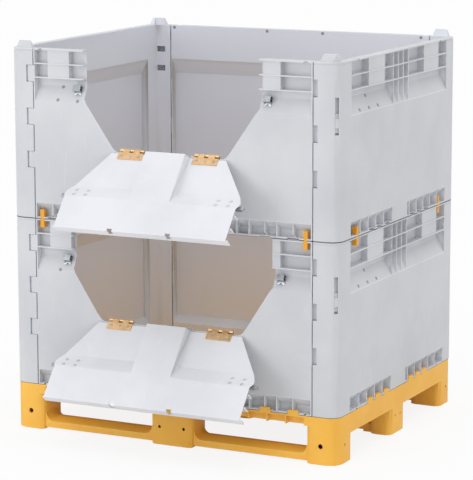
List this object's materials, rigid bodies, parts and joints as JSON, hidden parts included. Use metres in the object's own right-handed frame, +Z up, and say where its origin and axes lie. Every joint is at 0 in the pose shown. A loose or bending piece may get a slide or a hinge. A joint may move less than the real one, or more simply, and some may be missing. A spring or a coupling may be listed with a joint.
{
  "type": "collapsible pallet bin",
  "caption": "Stackable plastic pallet bin: ring collars with drop-down picking flaps, standing one on the other on a four-way plastic pallet.",
  "frame": {"origin": "centre of the footprint on the floor, on the underside of the pallet's middle runner", "axes": "+X to the right along the 1200 mm front, +Y to the rear, +Z up; both flaps hang open"},
  "size_m": [1.2, 1.2193, 1.3206],
  "materials": {
    "grey_plastic": "moulded, light cool grey",
    "flap_plastic": "moulded, light grey",
    "yellow_plastic": "moulded, amber yellow",
    "orange_plastic": "moulded, orange",
    "brass": "plated sheet, satin",
    "zinc": "zinc plated sheet, satin"
  },
  "bodies": {
    "pallet": {"pallet_deck": "yellow_plastic", "front_runner": "yellow_plastic", "middle_runner": "yellow_plastic", "rear_runner": "yellow_plastic"},
    "lower_collar": {"lower_front_wall": "grey_plastic", "lower_rear_wall": "grey_plastic", "lower_right_wall": "grey_plastic", "lower_left_wall": "grey_plastic", "lower_right_hinge_wall_leaf": "brass", "lower_right_keeper": "zinc", "lower_left_hinge_wall_leaf": "brass", "lower_left_keeper": "zinc"},
    "lower_flap_panel": {"lower_flap": "flap_plastic", "lower_right_hinge_flap_leaf": "brass", "lower_right_bolt_housing": "zinc", "lower_left_hinge_flap_leaf": "brass", "lower_left_bolt_housing": "zinc"},
    "lower_right_bolt_slide": {"lower_right_bolt": "zinc"},
    "lower_left_bolt_slide": {"lower_left_bolt": "zinc"},
    "lower_front_right_lock": {"lower_front_right_lock_slide": "grey_plastic"},
    "lower_rear_left_lock": {"lower_rear_left_lock_slide": "grey_plastic"},
    "upper_collar": {"upper_front_wall": "grey_plastic", "upper_rear_wall": "grey_plastic", "upper_right_wall": "grey_plastic", "upper_left_wall": "grey_plastic", "upper_right_hinge_wall_leaf": "brass", "upper_right_keeper": "zinc", "upper_left_hinge_wall_leaf": "brass", "upper_left_keeper": "zinc"},
    "upper_flap_panel": {"upper_flap": "flap_plastic", "upper_right_hinge_flap_leaf": "brass", "upper_right_bolt_housing": "zinc", "upper_left_hinge_flap_leaf": "brass", "upper_left_bolt_housing": "zinc"},
    "upper_right_bolt_slide": {"upper_right_bolt": "zinc"},
    "upper_left_bolt_slide": {"upper_left_bolt": "zinc"},
    "upper_front_right_lock": {"upper_front_right_lock_slide": "grey_plastic"},
    "upper_rear_left_lock": {"upper_rear_left_lock_slide": "grey_plastic"},
    "front_right_clip_body": {"front_right_clip": "orange_plastic"},
    "front_left_clip_body": {"front_left_clip": "orange_plastic"},
    "rear_right_clip_body": {"rear_right_clip": "orange_plastic"},
    "rear_left_clip_body": {"rear_left_clip": "orange_plastic"},
    "right_front_side_clip_body": {"right_front_side_clip": "orange_plastic"},
    "right_rear_side_clip_body": {"right_rear_side_clip": "orange_plastic"},
    "left_front_side_clip_body": {"left_front_side_clip": "orange_plastic"},
    "left_rear_side_clip_body": {"left_rear_side_clip": "orange_plastic"}
  },
  "joints": [
    {"name": "lower_collar_lift", "type": "slide", "parent": "pallet", "child": "lower_collar", "axis": [0, 0, 1], "range_m": [0, 0.1]},
    {"name": "upper_collar_lift", "type": "slide", "parent": "lower_collar", "child": "upper_collar", "axis": [0, 0, 1], "range_m": [0, 0.1]},
    {"name": "lower_flap_hinge", "type": "hinge", "parent": "lower_collar", "child": "lower_flap_panel", "pos_m": [0, -0.498, 0.4063], "axis": [1, 0, 0], "range_deg": [-141, 0]},
    {"name": "lower_right_bolt_throw", "type": "slide", "parent": "lower_flap_panel", "child": "lower_right_bolt_slide", "axis": [1, 0, 0], "range_m": [0, 0.02]},
    {"name": "lower_left_bolt_throw", "type": "slide", "parent": "lower_flap_panel", "child": "lower_left_bolt_slide", "axis": [-1, 0, 0], "range_m": [0, 0.02]},
    {"name": "lower_front_right_lock_travel", "type": "slide", "parent": "lower_collar", "child": "lower_front_right_lock", "axis": [0, 0, 1], "range_m": [0, 0.06]},
    {"name": "lower_rear_left_lock_travel", "type": "slide", "parent": "lower_collar", "child": "lower_rear_left_lock", "axis": [0, 0, 1], "range_m": [0, 0.06]},
    {"name": "upper_flap_hinge", "type": "hinge", "parent": "upper_collar", "child": "upper_flap_panel", "pos_m": [0, -0.498, 0.9766], "axis": [1, 0, 0], "range_deg": [-141, 0]},
    {"name": "upper_right_bolt_throw", "type": "slide", "parent": "upper_flap_panel", "child": "upper_right_bolt_slide", "axis": [1, 0, 0], "range_m": [0, 0.02]},
    {"name": "upper_left_bolt_throw", "type": "slide", "parent": "upper_flap_panel", "child": "upper_left_bolt_slide", "axis": [-1, 0, 0], "range_m": [0, 0.02]},
    {"name": "upper_front_right_lock_travel", "type": "slide", "parent": "upper_collar", "child": "upper_front_right_lock", "axis": [0, 0, 1], "range_m": [0, 0.06]},
    {"name": "upper_rear_left_lock_travel", "type": "slide", "parent": "upper_collar", "child": "upper_rear_left_lock", "axis": [0, 0, 1], "range_m": [0, 0.06]},
    {"name": "front_right_clip_pull", "type": "slide", "parent": "upper_collar", "child": "front_right_clip_body", "axis": [0, -1, 0], "range_m": [0, 0.025]},
    {"name": "front_left_clip_pull", "type": "slide", "parent": "upper_collar", "child": "front_left_clip_body", "axis": [0, -1, 0], "range_m": [0, 0.025]},
    {"name": "rear_right_clip_pull", "type": "slide", "parent": "upper_collar", "child": "rear_right_clip_body", "axis": [0, 1, 0], "range_m": [0, 0.025]},
    {"name": "rear_left_clip_pull", "type": "slide", "parent": "upper_collar", "child": "rear_left_clip_body", "axis": [0, 1, 0], "range_m": [0, 0.025]},
    {"name": "right_front_side_clip_pull", "type": "slide", "parent": "upper_collar", "child": "right_front_side_clip_body", "axis": [1, 0, 0], "range_m": [0, 0.025]},
    {"name": "right_rear_side_clip_pull", "type": "slide", "parent": "upper_collar", "child": "right_rear_side_clip_body", "axis": [1, 0, 0], "range_m": [0, 0.025]},
    {"name": "left_front_side_clip_pull", "type": "slide", "parent": "upper_collar", "child": "left_front_side_clip_body", "axis": [-1, 0, 0], "range_m": [0, 0.025]},
    {"name": "left_rear_side_clip_pull", "type": "slide", "parent": "upper_collar", "child": "left_rear_side_clip_body", "axis": [-1, 0, 0], "range_m": [0, 0.025]}
  ]
}
